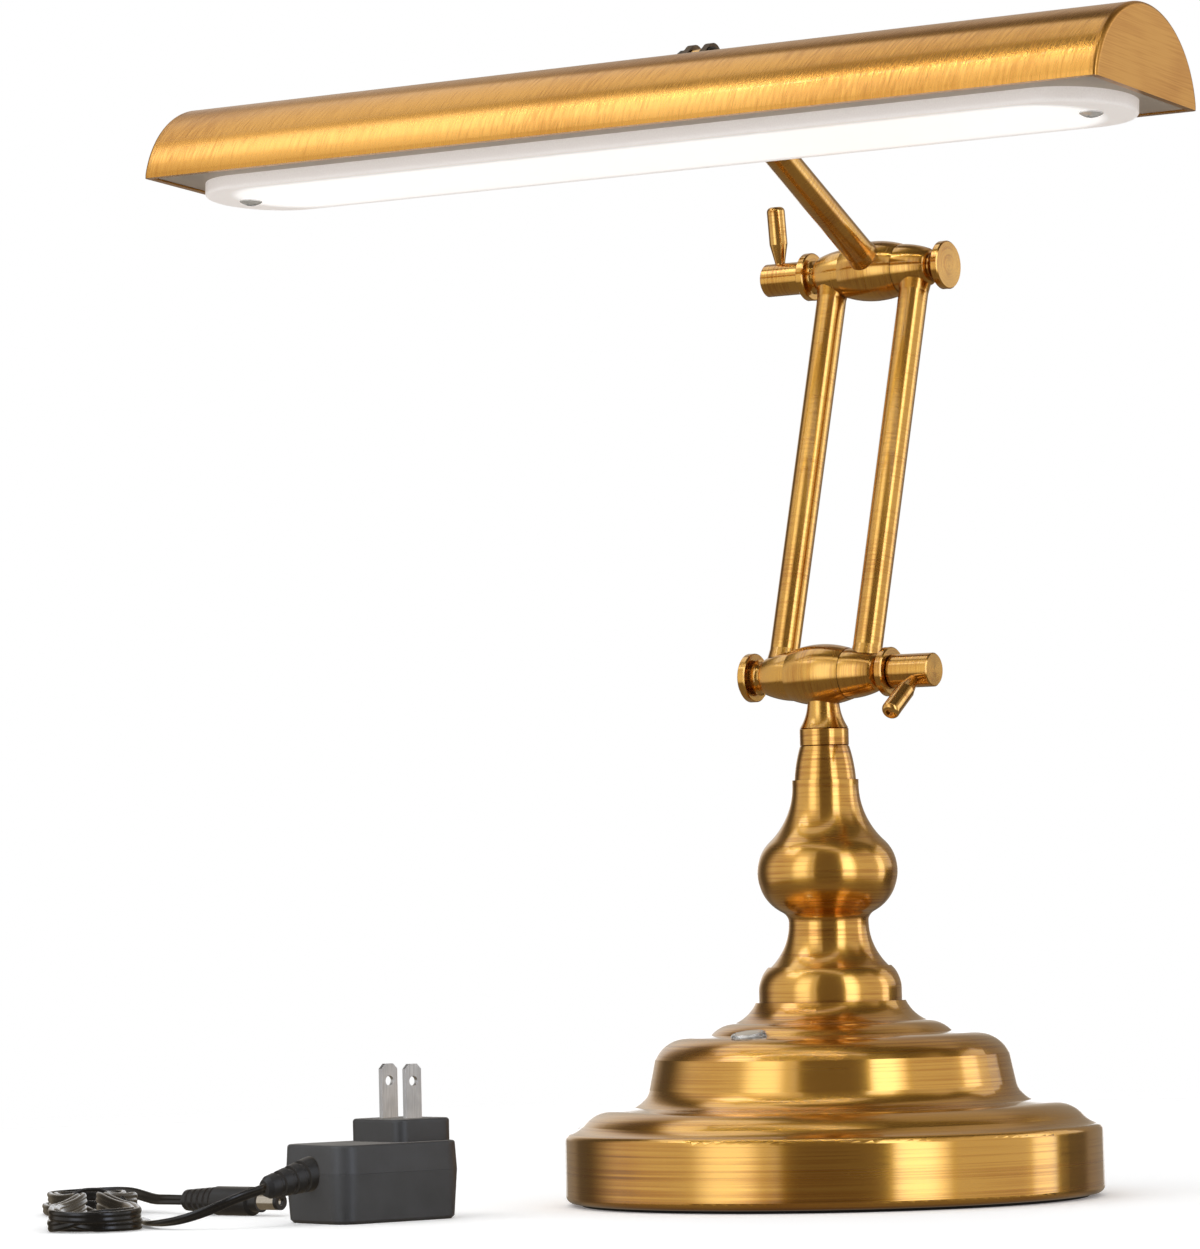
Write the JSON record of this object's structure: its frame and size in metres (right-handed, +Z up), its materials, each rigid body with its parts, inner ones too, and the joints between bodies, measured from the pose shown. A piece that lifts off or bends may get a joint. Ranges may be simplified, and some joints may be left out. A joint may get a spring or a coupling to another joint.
{
  "type": "piano lamp",
  "caption": "Piano lamp: stepped weighted base, turned column, clamped jointed arms and a long tilting light head, with its plug-in power adapter and tied lead beside it.",
  "frame": {"origin": "centre of the round base's underside, on the table", "axes": "+Z up, -Y the way the lamp faces; X runs along both arm pivots and the light head"},
  "size_m": [0.4174, 0.3131, 0.3773],
  "materials": {
    "antique_brass": "satin",
    "cast_iron": "matte",
    "zinc_steel": "satin",
    "chromed_steel": "polished",
    "foot_rubber": "matte",
    "black_plate": "satin",
    "grey_brown_plate": "satin",
    "frosted_diffuser": "satin",
    "clear_plastic": "gloss",
    "circuit_board": "satin",
    "light_chips": "gloss",
    "socket_plastic": "satin",
    "adapter_plastic": "satin",
    "blade_metal": "satin",
    "cord_vinyl": "gloss",
    "connector_plastic": "satin",
    "nickel_barrel": "polished"
  },
  "bodies": {
    "base": {"adapter_blades": "blade_metal", "adapter_lower_shell": "adapter_plastic", "adapter_strain_relief": "adapter_plastic", "adapter_upper_shell": "adapter_plastic", "base_bottom_plate": "black_plate", "base_shell": "antique_brass", "base_weight": "cast_iron", "column_collar": "antique_brass", "column_cone": "antique_brass", "column_ring": "antique_brass", "column_vase": "antique_brass", "connector_barrel": "nickel_barrel", "connector_boot": "connector_plastic", "connector_grip": "connector_plastic", "connector_tip": "connector_plastic", "cord_adapter_lead": "cord_vinyl", "cord_connector_lead": "cord_vinyl", "cord_hank": "cord_vinyl", "dc_jack": "socket_plastic", "dc_jack_nut": "zinc_steel", "foot_pad": "foot_rubber", "lower_barrel": "antique_brass", "rod_nut": "zinc_steel", "rod_spacer": "zinc_steel", "rod_washer": "zinc_steel", "threaded_rod": "zinc_steel", "touch_dimmer_board": "circuit_board", "touch_sensor_button": "chromed_steel", "touch_sensor_ring": "clear_plastic", "twist_tie": "cord_vinyl"},
    "arms": {"arm_left": "antique_brass", "arm_right": "antique_brass", "lower_hub_left": "antique_brass", "lower_hub_right": "antique_brass", "upper_hub_left": "antique_brass", "upper_hub_right": "antique_brass", "lower_bolt": "antique_brass", "upper_bolt": "antique_brass", "lower_clamp_washer": "antique_brass", "upper_clamp_washer": "antique_brass"},
    "shade_arm": {"upper_barrel": "antique_brass", "shade_arm_tube": "antique_brass", "arm_tongue": "antique_brass"},
    "shade": {"shade_shell": "antique_brass", "shade_end_cap_left": "antique_brass", "shade_end_cap_right": "antique_brass", "shade_plate": "grey_brown_plate", "diffuser_lens": "frosted_diffuser", "lens_screws": "chromed_steel", "led_board": "circuit_board", "led_chips": "light_chips", "hinge_bracket": "antique_brass", "hinge_screw": "chromed_steel", "hinge_nut": "zinc_steel", "hinge_washers": "zinc_steel"},
    "lower_clamp": {"lower_clamp_nut": "antique_brass", "lower_lever": "antique_brass"},
    "upper_clamp": {"upper_clamp_nut": "antique_brass", "upper_lever": "antique_brass"}
  },
  "joints": [
    {"name": "lower_pivot", "type": "hinge", "parent": "base", "child": "arms", "pos_m": [0, 0, 0.1737], "axis": [1, 0, 0], "range_deg": [-45, 45]},
    {"name": "upper_pivot", "type": "hinge", "parent": "arms", "child": "shade_arm", "pos_m": [0, 0.04019, 0.31114], "axis": [1, 0, 0], "range_deg": [-60, 45]},
    {"name": "shade_tilt", "type": "hinge", "parent": "shade_arm", "child": "shade", "pos_m": [0, -0.06568, 0.37177], "axis": [1, 0, 0], "range_deg": [-70, 45]},
    {"name": "lower_clamp_turn", "type": "hinge", "parent": "arms", "child": "lower_clamp", "pos_m": [0, 0, 0.1737], "axis": [1, 0, 0], "range_deg": [0, 180]},
    {"name": "upper_clamp_turn", "type": "hinge", "parent": "arms", "child": "upper_clamp", "pos_m": [0, 0.04019, 0.31114], "axis": [-1, 0, 0], "range_deg": [0, 180]}
  ]
}
